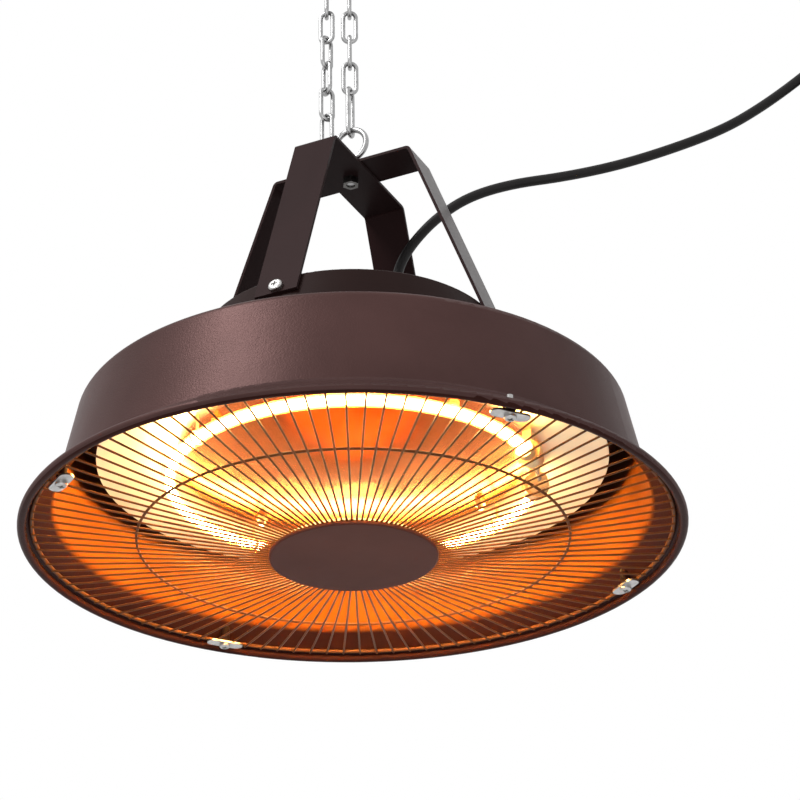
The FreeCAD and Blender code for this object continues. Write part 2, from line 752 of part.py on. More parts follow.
def lamp_supports():
    """Thin spring hooks that carry the tube between its ends."""
    hole = LAMP_TUBE / 2 + SUPPORT_CLEARANCE
    hooks = []
    for azimuth in SUPPORT_AZIMUTHS:
        at = polar(LAMP_RADIUS, azimuth, LAMP_HEIGHT)
        hooks.append(hung_ring(at, polar(1, azimuth + 90), hole, SUPPORT_WALL, SUPPORT_WIDTH, SUPPORT_POST))
    return hooks


# Inside the cap

def lamp_leads():
    """Wires from the end caps through the reflector and up to the terminal block."""
    leads = []
    block_side = gland_point().y - BLOCK_WIDTH / 2
    rise = SHIELD_TOP + BLOCK_HEIGHT / 2
    for side in (-1, 1):
        at, into_gap = lamp_end(side)
        outer, well = lead_points(side)
        start = at + into_gap * END_CAP_LENGTH
        points = [
            start,
            start + into_gap * LEAD_STUB,
            outer + UP * LAMP_HEIGHT,
            outer + UP * LEAD_LEVEL,
            well + UP * LEAD_LEVEL,
            well + UP * rise,
            V(well.x, block_side, rise),
        ]
        leads.append(tube(bent_edges(points, [LEAD_BEND, LEAD_TURN] + [LEAD_BEND] * 3), LEAD_DIAMETER))
    return leads


def lead_bushes():
    """Ceramic bushes where the leads pass the reflector."""
    low = VALLEY_HEIGHT - BUSH_FLANGE_HEIGHT
    bushes = []
    for side in (-1, 1):
        at = lead_points(side)[0]
        neck = cylinder(BUSH_RADIUS, low, VALLEY_TOP, at)
        flange = cylinder(BUSH_FLANGE, low, VALLEY_HEIGHT, at)
        bore = cylinder(LEAD_DIAMETER / 2 + SEAT_GAP, low, VALLEY_TOP, at)
        bushes.append(neck.fuse(flange).cut(bore).removeSplitter())
    return bushes


def heat_shield():
    """Plate that keeps the lamp's heat from the wiring."""
    plate = washer(SHIELD_RADIUS, SHIELD_HOLE, SHIELD_UNDERSIDE, SHIELD_TOP)
    hole = screw_hole(M4, SHIELD_UNDERSIDE, SHIELD_TOP, polar(POST_CIRCLE, SPACER_START))
    earth = screw_hole(M4, SHIELD_UNDERSIDE, SHIELD_TOP, polar(EARTH_CIRCLE, EARTH_AZIMUTH))
    return plate.cut(ring_of(hole, POST_COUNT) + [earth])


def shield_fasteners():
    """Posts under the shield, and the screws and nuts through them."""
    at = polar(POST_CIRCLE, SPACER_START)
    post = washer(POST_RADIUS, M4[0] / 2 + HOLE_CLEARANCE, SHADE_TOP_HEIGHT, SHIELD_UNDERSIDE, at)
    screw = pan_screw(M4, SHIELD_TOP - SHADE_TOP_UNDERSIDE + M4[4] + SCREW_TAIL)
    screw.translate(V(at.x, at.y, SHIELD_TOP))
    lock = nut(M4, SHADE_TOP_UNDERSIDE - M4[4], at)
    return [ring_of(piece, POST_COUNT) for piece in (post, screw, lock)]


def terminal_points():
    """Places of the terminal screws on the block."""
    middle = gland_point()
    half = V(TERMINAL_SPACING / 2, TERMINAL_ROWS / 2, 0)
    return [middle + V(x * half.x, y * half.y, 0) for x in (-1, 1) for y in (-1, 1)]


def terminal_block():
    """Ceramic block on the shield, under the gland, with its screw wells."""
    block = box(BLOCK_LENGTH, BLOCK_WIDTH, SHIELD_TOP, BLOCK_TOP, gland_point())
    well = cylinder(M4[0] / 2, BLOCK_TOP - TERMINAL_DEPTH, BLOCK_TOP)
    return block.cut([well.translated(point) for point in terminal_points()])


def terminal_screws():
    """Short screws in the wells of the block."""
    low = BLOCK_TOP - TERMINAL_DEPTH
    screw = cylinder(M4[0] / 2 - SEAT_GAP, low, low + TERMINAL_SCREW_LENGTH)
    return [screw.translated(point) for point in terminal_points()]


def thermal_cutout():
    """Button-shaped cut-out with its flange on the shield."""
    at = polar(CUTOUT_CIRCLE, CUTOUT_AZIMUTH)
    flange = box(CUTOUT_FLANGE, CUTOUT_RADIUS * 2, SHIELD_TOP, SHIELD_TOP + CUTOUT_SHEET, at)
    button = cylinder(CUTOUT_RADIUS, SHIELD_TOP + CUTOUT_SHEET, SHIELD_TOP + CUTOUT_HEIGHT, at)
    return flange.fuse(button).removeSplitter()


def earth_screw():
    """Screw for the earth wire, through the shield."""
    return pan_screw(M4, EARTH_LENGTH).translated(polar(EARTH_CIRCLE, EARTH_AZIMUTH, SHIELD_TOP))


# Guard and its clips

def wire_height(radius):
    """Height of a guard wire's middle at a radius: straight from the outer ring to the disc."""
    ring = flare_height(GUARD_RADIUS) - flare_rise(GUARD_RING_WIRE / 2 + GUARD_RING_CLEARANCE)
    outer = ring - (GUARD_RING_WIRE + GUARD_WIRE) / 2 + GUARD_WELD
    share = (radius - GUARD_INNER_RADIUS) / (GUARD_RADIUS - GUARD_INNER_RADIUS)
    return GUARD_INNER_HEIGHT + (outer - GUARD_INNER_HEIGHT) * share


def ring_height(radius, wire):
    """Height of a ring's middle where it is welded on the wires."""
    return wire_height(radius) + (wire + GUARD_WIRE) / 2 - GUARD_WELD


def ring_sector(radius, wire):
    """Slice of a ring on the wires, half a space to each side of the X axis."""
    middle = V(radius, 0, ring_height(radius, wire))
    section = Part.Face(Part.Wire(Part.makeCircle(wire / 2, middle, V(0, 1, 0))))
    section.rotate(V(), UP, -WIRE_ANGLE / 2)
    return section.revolve(V(), UP, WIRE_ANGLE)


def guard_grille():
    """Welded guard: one sector with its wire, repeated and sewn into one solid."""
    ends = (GUARD_RADIUS + GUARD_WIRE / 2, GUARD_INNER_RADIUS - GUARD_WIRE)
    start, end = [V(radius, 0, wire_height(radius)) for radius in ends]
    wire = Part.makeCylinder(GUARD_WIRE / 2, (end - start).Length, start, end - start)
    rings = [ring_sector(GUARD_RADIUS, GUARD_RING_WIRE)]
    rings += [ring_sector(r, GUARD_MIDDLE_WIRE) for r in (GUARD_MIDDLE_RADIUS, GUARD_INNER_RADIUS)]
    sector = wire.fuse(rings)
    sides = [polar(1, side * WIRE_ANGLE / 2 + 90) for side in (-1, 1)]
    skin = [f for f in sector.Faces if all(abs(f.CenterOfMass.dot(n)) > 1e-4 for n in sides)]
    first = CLIP_START + WIRE_ANGLE / 2
    faces = [turned(f, first + WIRE_ANGLE * i) for i in range(GUARD_WIRE_COUNT) for f in skin]
    shell = Part.Shell(faces)
    shell.sewShape()
    return Part.Solid(shell)


def guard_disc():
    """Shallow pan that closes the middle of the guard."""
    rim = wire_height(DISC_RADIUS - DISC_SHEET) - GUARD_WIRE / 2 - SEAT_GAP
    outline = [(0.0, DISC_FACE), (DISC_RADIUS, DISC_FACE), (DISC_RADIUS, rim)]
    return spun(sheet_section(outline, [DISC_BEND], DISC_SHEET))


def retainer_underside():
    """Height of the retainer plate, on the inner ring of the guard."""
    return ring_height(GUARD_INNER_RADIUS, GUARD_MIDDLE_WIRE) + GUARD_MIDDLE_WIRE / 2 + SEAT_GAP


def disc_retainer():
    """Plate above the wires that clamps their ends to the disc."""
    low = retainer_underside()
    hole = cylinder(STUD_RADIUS + SEAT_GAP, low, low + RETAINER_SHEET, polar(STUD_CIRCLE, 0))
    return cylinder(RETAINER_RADIUS, low, low + RETAINER_SHEET).cut(ring_of(hole, STUD_COUNT))


def disc_studs():
    """Studs welded inside the disc, with a collar under the retainer and a headed end above it."""
    low = DISC_FACE + DISC_SHEET
    top = retainer_underside() + RETAINER_SHEET
    at = polar(STUD_CIRCLE, 0)
    shank = cylinder(STUD_RADIUS, low, top + STUD_HEAD, at)
    head = cylinder(STUD_COLLAR, top, top + STUD_HEAD, at)
    collar = cylinder(STUD_COLLAR, low, retainer_underside(), at)
    return ring_of(shank.fuse([head, collar]).removeSplitter(), STUD_COUNT)


def clip_top():
    """Height of a clip's upper face, just under the wires."""
    return wire_height(CLIP_CIRCLE - CLIP_WIDTH / 2) - GUARD_WIRE / 2 - WIRE_CLEARANCE


def clip_screw_end():
    """Height of a clip screw's end, which stands out of the flare."""
    return flare_height(CLIP_CIRCLE) + flare_rise(SHADE_SHEET) + CLIP_SCREW_TAIL


def at_clips(shape):
    """Copies of a shape, one at each clip."""
    return [turned(shape, CLIP_START + WIRE_ANGLE * spaces) for spaces in CLIP_SPACES]


def clip_pieces():
    """Clips under the wires, their screws, and the bosses between them and the flare."""
    at = polar(CLIP_CIRCLE, 0)
    top = clip_top()
    low = top - CLIP_SHEET
    end = (CLIP_LENGTH - CLIP_WIDTH) / 2
    rounds = [cylinder(CLIP_WIDTH / 2, low, top, at + V(0, side * end, 0)) for side in (-1, 1)]
    plate = box(CLIP_WIDTH, 2 * end, low, top, at).fuse(rounds).removeSplitter()
    plate = plate.cut(screw_hole(M4, low, top, at))
    screw = pan_screw(M4, clip_screw_end() - low)
    screw.rotate(V(), V(1, 0, 0), 180)
    screw.translate(V(at.x, 0, low))
    boss = cylinder(BOSS_RADIUS, top, clip_screw_end(), at).cut(above_flare())
    boss = boss.cut(screw_hole(M4, top, clip_screw_end(), at))
    return [at_clips(piece) for piece in (plate, screw, boss)]


def above_flare():
    """Everything over the flare's inner face near the clips, to trim the bosses to it."""
    inner = CLIP_CIRCLE - BOSS_RADIUS - CUT_MARGIN
    outer = CLIP_CIRCLE + BOSS_RADIUS + CUT_MARGIN
    top = clip_screw_end() + CUT_MARGIN
    corners = [(inner, flare_height(inner)), (outer, flare_height(outer)), (outer, top), (inner, top)]
    points = [V(x, 0, z) for x, z in corners]
    return spun(Part.Face(Part.makePolygon(points + points[:1])))


# Mains lead

def cable_point(along, height, layer=0.0):
    """Point in the lead's upright plane, or in a layer beside it."""
    turn = FreeCAD.Rotation(UP, CABLE_HEADING)
    return turn.multVec(V(along, CABLE_OFFSET + layer, height))


def cable_direction(along, height):
    """Direction in the lead's plane."""
    return FreeCAD.Rotation(UP, CABLE_HEADING).multVec(V(along, 0, height))


def gland_pieces():
    """Gland body, its lock nut inside the cap and the tapered sleeve on top."""
    at = gland_point()
    thread = cylinder(GLAND_RADIUS, CAP_TOP_HEIGHT - GLAND_THREAD, CAP_TOP_HEIGHT, at)
    collar = hexagon(GLAND_HEX, CAP_TOP_HEIGHT, CAP_TOP_HEIGHT + GLAND_HEX_HEIGHT, at)
    dome = cylinder(GLAND_DOME_RADIUS, CAP_TOP_HEIGHT + GLAND_HEX_HEIGHT, GLAND_TOP, at)
    dome = dome.makeFillet(GLAND_DOME_BEND, upper_rim(dome, GLAND_TOP - GLAND_DOME_HEIGHT / 2))
    body = thread.fuse([collar, dome]).removeSplitter()
    top = CAP_TOP_HEIGHT - CAP_SHEET
    hole = cylinder(GLAND_RADIUS + SEAT_GAP, top - GLAND_NUT_HEIGHT, top, at)
    lock = hexagon(GLAND_HEX, top - GLAND_NUT_HEIGHT, top, at).cut(hole)
    sleeve = Part.makeCone(SLEEVE_BASE_RADIUS, SLEEVE_TIP_RADIUS, SLEEVE_HEIGHT, V(at.x, at.y, GLAND_TOP))
    return body, lock, sleeve


def inner_lead():
    """Lead from the gland down to the terminal block."""
    return cylinder(CABLE_DIAMETER / 2, BLOCK_TOP, CAP_TOP_HEIGHT - GLAND_THREAD, gland_point())


def coil_start():
    """Where the coil's first turn starts, in the lead's plane."""
    a = math.radians(90 + COIL_HEADING)
    return COIL_ALONG + COIL_RADIUS * math.cos(a), COIL_HEIGHT + COIL_RADIUS * math.sin(a)


def cable_points():
    """Route of the free stretch from the sleeve's tip to the straight end of the coil."""
    along, height = coil_start()
    heading = math.radians(COIL_HEADING)
    end = (along - CABLE_DIAMETER * math.cos(heading), height - CABLE_DIAMETER * math.sin(heading))
    return [cable_point(*point) for point in [(GLAND_ALONG, SLEEVE_TIP)] + CABLE_ROUTE + [end]]


def fullness(cord, length):
    """Volume of a cord as a share of its section times its length."""
    return cord.Volume / (math.pi * CABLE_DIAMETER ** 2 / 4 * length)


def supply_cable():
    """Free stretch of the lead, with bends as large as its runs allow."""
    points = cable_points()
    radii = []
    for a, b, c in zip(points, points[1:], points[2:]):
        turn = (b - a).getAngle(c - b)
        radii.append(ROUTE_BEND_SHARE * min((b - a).Length, (c - b).Length) / math.tan(turn / 2))
    edges = bent_edges(points, radii)
    cord = tube(edges, CABLE_DIAMETER)
    length = sum(e.Length for e in edges)
    print("cable radii", [round(r) for r in radii], "length", round(length, 1))
    print("cable volume over section times length", round(fullness(cord, length), 4))
    return cord, length


def arc_to(start, along, end):
    """Arc that leaves a point along a direction and reaches another, and its direction there."""
    chord = (end - start).normalize()
    final = chord * (2 * along.dot(chord)) - along
    outward = (along - chord * along.dot(chord)).normalize()
    half = along.getAngle(chord) / 2
    middle = (start + end) * 0.5 + outward * ((end - start).Length / 2 * math.tan(half))
    return Part.Arc(start, middle, end).toShape(), final


def coil_plan():
    """Sweep and change of radius of each stretch: in on one layer, a climb of half a turn, and out."""
    step = TURN_PITCH / 4
    inward = [(90, -step)] * INWARD_QUARTER_COUNT + [(90, -2 * step)]
    outward = [(90, 2 * step)] + [(90, step)] * OUTWARD_QUARTER_COUNT
    return [(COIL_HEADING, 0)] + inward + [(180, 0)] + outward


def coil_edges():
    """Turns of the put-away coil, the place where they end and the direction there."""
    heading = math.radians(COIL_HEADING)
    along, height = coil_start()
    direction = cable_direction(math.cos(heading), math.sin(heading))
    start = cable_point(along, height)
    edges = [Part.makeLine(start - direction * CABLE_DIAMETER, start)]
    angle = 90.0 + COIL_HEADING
    centre = (COIL_ALONG, COIL_HEIGHT)
    radius = COIL_RADIUS
    layer = 0.0
    for sweep, change in coil_plan():
        at = math.radians(angle)
        centre = (centre[0] - change * math.cos(at), centre[1] - change * math.sin(at))
        radius += change
        stops = [angle - 90, angle - 180] if sweep == 180 else [angle - sweep]
        for stop in stops:
            reach = radius
            if sweep == 180:
                layer += TURN_PITCH / 2
                reach = math.hypot(radius, TURN_PITCH / 2) if stop == stops[0] else radius
            a = math.radians(stop)
            end = cable_point(centre[0] + reach * math.cos(a), centre[1] + reach * math.sin(a), layer)
            arc, direction = arc_to(start, direction, end)
            edges.append(arc)
            start = end
        angle = stops[-1]
    end = start + direction * CABLE_DIAMETER
    edges.append(Part.makeLine(start, end))
    return edges, end


def least_gap(edges):
    """Least clear distance between parts of the coil that are more than three diameters apart along it."""
    points = []
    run = 0.0
    for edge in edges:
        samples = edge.discretize(max(3, int(edge.Length / 2)))[:-1]
        points += [(run + edge.Length * i / len(samples), p) for i, p in enumerate(samples)]
        run += edge.Length
    apart = 3 * CABLE_DIAMETER
    gaps = [(p - q).Length for i, (s, p) in enumerate(points) for t, q in points[i + 1:] if t - s > apart]
    return min(gaps) - CABLE_DIAMETER


def cable_coil():
    """Put-away length of the lead, as one unbroken tube."""
    edges, end = coil_edges()
    coil = tube(edges, CABLE_DIAMETER)
    length = sum(e.Length for e in edges)
    print("coil length", round(length, 1), "least gap", round(least_gap(edges), 2))
    print("coil volume over section times length", round(fullness(coil, length), 4))
    return coil, edges, end, length


def coil_heights(edges):
    """Least and greatest height of the turns under the tie."""
    back = FreeCAD.Rotation(UP, -CABLE_HEADING)
    points = [back.multVec(p) for edge in edges for p in edge.discretize(max(3, int(edge.Length)))]
    reach = TIE_WIDTH / 2 + TIE_CLEARANCE
    heights = [p.z for p in points if abs(p.x - COIL_ALONG) <= reach and p.z > COIL_HEIGHT]
    return min(heights), max(heights)


def coil_tie(edges):
    """Strap round the top of the coil, with a loop to hang it by."""
    low, high = coil_heights(edges)
    room = CABLE_DIAMETER / 2 + TIE_CLEARANCE
    low -= room
    high += room
    near = CABLE_OFFSET - room
    far = CABLE_OFFSET + TURN_PITCH + room
    middle = V(COIL_ALONG, (near + far) / 2, 0)
    wall = 2 * TIE_THICKNESS
    band = box(TIE_WIDTH, far - near + wall, low - TIE_THICKNESS, high + TIE_THICKNESS, middle)
    band = band.cut(box(TIE_WIDTH, far - near, low, high, middle))
    pivot = V(COIL_ALONG, middle.y - TIE_LOOP_THICKNESS / 2, high + TIE_LOOP_RADIUS)
    across = V(0, 1, 0)
    loop = Part.makeCylinder(TIE_LOOP_RADIUS, TIE_LOOP_THICKNESS, pivot, across)
    loop = loop.fuse(box(TIE_LOOP_RADIUS, TIE_LOOP_THICKNESS, high, pivot.z, middle))
    loop = loop.cut(Part.makeCylinder(TIE_LOOP_HOLE, TIE_LOOP_THICKNESS, pivot, across))
    return turned(band.fuse(loop).removeSplitter(), CABLE_HEADING)


def plug_pieces(end):
    """Plug hanging from the end of the coil: its sleeve, its body and its pins."""
    sleeve_low = end.z - PLUG_SLEEVE_LENGTH
    body_low = sleeve_low - PLUG_LENGTH
    low = V(end.x, end.y, sleeve_low)
    sleeve = Part.makeCone(PLUG_SLEEVE_RADIUS, SLEEVE_TIP_RADIUS, PLUG_SLEEVE_LENGTH, low)
    body = cylinder(PLUG_RADIUS, body_low, sleeve_low, end)
    body = body.makeFillet(PLUG_BEND, upper_rim(body, sleeve_low - PLUG_LENGTH / 2))
    pins = []
    for side in (-1, 1):
        at = end + V(side * PIN_SPACING / 2, 0, 0)
        pin = cylinder(PIN_RADIUS, body_low - PIN_LENGTH, body_low, at)
        tip = [e for e in pin.Edges if e.BoundBox.ZMax < body_low - PIN_LENGTH / 2]
        pins.append(pin.makeFillet(PIN_BEND, tip))
    return sleeve, body, pins


def build():
    """All nodes by name."""
    foot_screws, foot_nuts = foot_fasteners()
    cap_screws, cap_nuts = cap_fasteners()
    spacers, spacer_screws, spacer_nuts = reflector_fasteners()
    posts, post_screws, post_nuts = shield_fasteners()
    clips, clip_screws, clip_bosses = clip_pieces()
    gland, gland_nut, sleeve = gland_pieces()
    cable, cable_length = supply_cable()
    coil, coil_path, coil_end, coil_length = cable_coil()
    plug_sleeve, plug_body, plug_pins = plug_pieces(coil_end)
    print("lead length", round(cable_length + coil_length, 1))
    return {
        "ceiling_plate": [ceiling_plate()],
        "ceiling_loop": [ceiling_loop()],
        "hanger_ring": [hanger_ring()],
        "chain_links_top": strand_links(range(LINK_COUNT // 2, LINK_COUNT)),
        "chain_links_middle": strand_links(range(LINK_COUNT // 2)),
        "chain_end_links": end_links(),
        "eye_bolt": [eye_bolt()],
        "eye_nuts": eye_nuts(),
        "strap_lower": [strap(STRAP_UNDERSIDE, 90)],
        "strap_upper": [strap(STRAP_UNDERSIDE + STRAP_THICKNESS, 0)],
        "strap_screws": foot_screws,
        "strap_nuts": foot_nuts,
        "top_cap": [top_cap()],
        "cap_screws": cap_screws,
        "cap_nuts": cap_nuts,
        "shade": [shade()],
        "reflector": [reflector()],
        "reflector_spacers": spacers,
        "reflector_screws": spacer_screws,
        "reflector_nuts": spacer_nuts,
        "lamp_tube": [lamp_tube()],
        "lamp_filament": [lamp_arc(FILAMENT / 2, LAMP_GAP)],
        "lamp_end_caps": lamp_end_caps(),
        "lamp_holders": lamp_holders(),
        "lamp_supports": lamp_supports(),
        "lamp_leads": lamp_leads(),
        "lead_bushes": lead_bushes(),
        "heat_shield": [heat_shield()],
        "shield_posts": posts,
        "shield_screws": post_screws,
        "shield_nuts": post_nuts,
        "terminal_block": [terminal_block()],
        "terminal_screws": terminal_screws(),
        "thermal_cutout": [thermal_cutout()],
        "earth_screw": [earth_screw()],
        "guard_grille": [guard_grille()],
        "guard_disc": [guard_disc()],
        "disc_retainer": [disc_retainer()],
        "disc_studs": disc_studs(),
        "guard_clips": clips,
        "clip_screws": clip_screws,
        "clip_bosses": clip_bosses,
        "cable_gland": [gland],
        "gland_nut": [gland_nut],
        "strain_relief": [sleeve],
        "inner_lead": [inner_lead()],
        "supply_cable": [cable],
        "cable_coil": [coil],
        "coil_tie": [coil_tie(coil_path)],
        "plug_sleeve": [plug_sleeve],
        "plug_body": [plug_body],
        "plug_pins": plug_pins,
    }


def export(nodes):
    """Hang every node below the ceiling plate and write it."""
    os.makedirs("parts", exist_ok=True)
    for name, solids in nodes.items():
        shape = solids[0] if len(solids) == 1 else Part.makeCompound(solids)
        shape = shape.copy()
        shape.translate(V(0, 0, -CEILING))
        shape.exportStep("parts/" + name + ".step")
    print("ceiling height", round(CEILING, 2), "loop", round(LOOP_LEVEL, 2), "hanger", round(HANGER_LEVEL, 2))
    print("link heights", [round(z, 2) for z in LINK_BOTTOMS], "end link", round(CONNECTOR_BOTTOM, 2))


export(build())
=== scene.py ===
import bpy
import math
from mathutils import Matrix, Vector

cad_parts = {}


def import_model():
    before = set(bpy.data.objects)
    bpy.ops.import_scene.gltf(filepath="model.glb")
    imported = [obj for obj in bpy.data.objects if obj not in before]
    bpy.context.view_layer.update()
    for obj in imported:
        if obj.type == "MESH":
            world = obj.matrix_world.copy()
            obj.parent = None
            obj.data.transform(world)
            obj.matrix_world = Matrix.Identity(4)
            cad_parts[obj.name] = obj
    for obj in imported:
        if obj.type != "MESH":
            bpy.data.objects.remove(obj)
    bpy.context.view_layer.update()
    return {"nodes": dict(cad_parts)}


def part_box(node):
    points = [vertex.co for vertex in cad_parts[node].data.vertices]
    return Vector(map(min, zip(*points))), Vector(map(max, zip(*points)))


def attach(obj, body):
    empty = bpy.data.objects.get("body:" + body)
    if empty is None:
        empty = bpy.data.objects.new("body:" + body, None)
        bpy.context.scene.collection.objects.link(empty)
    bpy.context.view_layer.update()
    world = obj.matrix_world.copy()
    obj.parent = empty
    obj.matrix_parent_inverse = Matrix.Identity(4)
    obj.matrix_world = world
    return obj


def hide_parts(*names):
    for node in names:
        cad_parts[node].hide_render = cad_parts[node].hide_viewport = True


# Hanging patio heater: finishes for the solid parts, the mains lead as one smooth cord, and a studio.
# Everything is in metres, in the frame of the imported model.

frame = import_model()
nodes = frame["nodes"]

# The rim's plane, from which heights are measured
RIM_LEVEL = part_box("shade")[0][2]

# Camera
CAMERA_AZIMUTH = math.radians(26.8)
CAMERA_ELEVATION = math.radians(-23.78)
CAMERA_DISTANCE = 1.5947
CAMERA_PITCH = math.radians(27.04)
CAMERA_YAW = math.radians(1.22)
CAMERA_ROLL = math.radians(-1.02)
CAMERA_LENS = 112.55

# Mains lead, in its upright plane: along its heading and up from the rim plane
CABLE_DIAMETER = 0.007
CABLE_HEADING = math.radians(26.8)
CABLE_OFFSET = 0.030
CABLE_EXIT = (0.030, 0.191)
CABLE_ROUTE = [
    (0.0300, 0.2090), (0.0350, 0.2260), (0.0455, 0.2430), (0.0610, 0.2605),
    (0.0830, 0.2765), (0.1130, 0.2865), (0.1500, 0.2920), (0.1900, 0.3015),
    (0.2320, 0.3165), (0.2660, 0.3315), (0.2920, 0.3485), (0.3195, 0.3702),
]

# Put-away coil of the lead, with its angles in degrees
COIL_CENTRE = (0.377, 0.356)
COIL_RADIUS = 0.049
COIL_HEADING = 42
COIL_STEP = 15
TURN_PITCH = 0.0078
QUARTER = 90
QUARTERS_IN = 8
QUARTERS_OUT = 9
CLIMB_SWEEP = 180

# Studio
FLOOR_LEVEL = -3.0
FLOOR_SIZE = 30.0
FLOOR_COLOUR = (0.86, 0.86, 0.86)
FLOOR_LIFT = 0.62
WORLD_LIGHT = 0.4
KEY_PLACE = (-0.77, -1.49, 1.5)
KEY_SIZE = 0.8
KEY_POWER = 42
FILL_PLACE = (1.3, -2.4, -1.3)
FILL_SIZE = 1.8
FILL_POWER = 12

# Where the painted light and shade on the shade change, by distance from the axis and height: outside its
# neck the faces that look inward or down carry painted shade, inside it the lamp's orange glow is painted
# on, ending in a painted shadow above the reflector's rim; the reflector is brushed outside the ring over
# the lamp
GLOW_EDGE_START = 0.1895
GLOW_EDGE_END = 0.1925
RIM_SHADOW_START = RIM_LEVEL + 0.050
RIM_SHADOW_END = RIM_LEVEL + 0.060
BRUSHED_START = 0.112
BRUSHED_END = 0.128

# Powder coats
SHADE_BRONZE = (0.084, 0.043, 0.04)
SHADE_EDGE_SHEEN = (0.4, 0.37, 0.37)
# The shade's bronze darkened as painted shade, on the faces under the flare and the lip
FLARE_BRONZE_PAINTED_SHADE = (0.045, 0.0155, 0.0125)
# Painted light: the lamp's orange glow, painted on the shade's inner wall
PAINTED_LAMP_GLOW = (0.27, 0.076, 0.007)
# Painted shadow: the dark band that the reflector's rim casts on the wall above it
PAINTED_RIM_SHADOW = (0.05, 0.016, 0.006)
CAP_BRONZE = (0.02, 0.009, 0.008)
STRAP_BRONZE = (0.03, 0.014, 0.014)
PLATE_BRONZE = (0.05, 0.026, 0.022)
GUARD_BRONZE = (0.15, 0.062, 0.025)
DISC_BRONZE = (0.125, 0.043, 0.031)

# Metals
CHAIN_ZINC = (0.42, 0.42, 0.42)
FASTENER_ZINC = (0.47, 0.46, 0.45)
NUT_OXIDE = (0.12, 0.115, 0.11)
TINTED_STEEL = (0.9, 0.72, 0.42)
PIN_NICKEL = (0.72, 0.66, 0.52)
STEEL_DARK = (0.36, 0.33, 0.29)
STEEL_LIGHT = (0.56, 0.55, 0.53)
GOLD_DARK = (0.53, 0.135, 0.014)
GOLD_LIGHT = (0.62, 0.18, 0.023)
PALE_ALUMINIUM = (0.9, 0.85, 0.64)

# Lamp
QUARTZ_GLOW = (1.0, 0.5, 0.1)
QUARTZ_STRENGTH = 6.0
QUARTZ_ALPHA = 0.25
FILAMENT_GLOW = (1.0, 0.57, 0.17)
FILAMENT_STRENGTH = 200.0
LAMP_CERAMIC = (0.8, 0.6, 0.32)
BLOCK_CERAMIC = (0.64, 0.61, 0.55)
GLASS_FIBRE = (0.5, 0.48, 0.42)

# Plastics, rubber and webbing
RUBBER_BLACK = (0.008, 0.007, 0.007)
GLAND_BLACK = (0.02, 0.02, 0.02)
PLUG_BLACK = (0.018, 0.018, 0.019)
WEBBING_BLACK = (0.02, 0.02, 0.02)

# Sockets of the colour mixing node
MIX_SHARE = 0
MIX_FIRST = 6
MIX_SECOND = 7
MIX_RESULT = 2


# Cord

def lead_point(along, height, layer=0.0):
    """Point in the lead's upright plane, or in a layer beside it."""
    flat = Matrix.Rotation(CABLE_HEADING, 3, "Z") @ Vector((along, CABLE_OFFSET + layer, 0))
    return Vector((flat.x, flat.y, RIM_LEVEL + height))


def spoke(angle):
    """Direction at an angle in degrees in the lead's upright plane."""
    turn = math.radians(angle)
    return Vector((math.cos(turn), math.sin(turn)))


def coil_plan():
    """Sweeps of the coil, each with the change of radius that it starts with."""
    step = TURN_PITCH / 4
    inward = [(QUARTER, -step)] * QUARTERS_IN + [(QUARTER, -2 * step)]
    outward = [(QUARTER, 2 * step)] + [(QUARTER, step)] * QUARTERS_OUT
    return [(COIL_HEADING, 0.0)] + inward + [(CLIMB_SWEEP, 0.0)] + outward


def arc_points(centre, radius, angle, sweep, layer, climb):
    """Control points along one sweep, far enough out that the spline lies on the arc."""
    overshoot = 1 / math.cos(math.radians(COIL_STEP / 2))
    count = round(sweep / COIL_STEP)
    points = []
    for i in range(count):
        share = (i + 0.5) / count
        spot = centre + spoke(angle - sweep * share) * radius * overshoot
        points.append(lead_point(spot.x, spot.y, layer + climb * share))
    return points


def coil_points():
    """Turns of the put-away coil: in on one layer, a climb, and out on the next."""
    angle = QUARTER + COIL_HEADING
    centre = Vector(COIL_CENTRE)
    radius = COIL_RADIUS
    layer = 0.0
    points = []
    for sweep, change in coil_plan():
        centre = centre - spoke(angle) * change
        radius += change
        climb = TURN_PITCH if sweep == CLIMB_SWEEP else 0.0
        points += arc_points(centre, radius, angle, sweep, layer, climb)
        layer += climb
        angle -= sweep
    end = centre + Vector((radius, 0))
    points.append(lead_point(end.x, end.y, layer))
    points.append(lead_point(end.x, end.y - CABLE_DIAMETER, layer))
    return points


def spline_curve(name, points, diameter):
    """Round cord along one smooth spline."""
    data = bpy.data.curves.new(name, "CURVE")
    data.dimensions = "3D"
    data.bevel_depth = diameter / 2
    data.bevel_resolution = 5
    data.resolution_u = 6
    data.use_fill_caps = True
    spline = data.splines.new("NURBS")
    spline.points.add(len(points) - 1)
    for spot, point in zip(spline.points, points):
        spot.co = (*point, 1)
    spline.order_u = 3
    spline.use_endpoint_u = True
    cord = bpy.data.objects.new(name, data)
    bpy.context.scene.collection.objects.link(cord)
    return cord


def mains_lead():
    """The whole outside length of the lead, from the strain relief to the plug."""
    route = [CABLE_EXIT] + CABLE_ROUTE
    points = [lead_point(*point) for point in route] + coil_points()
    cord = spline_curve("mains_lead", points, CABLE_DIAMETER)
    cord.data.materials.append(rubber("lead_rubber", RUBBER_BLACK))
    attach(cord, "heater")
    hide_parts("supply_cable", "cable_coil")


# Materials

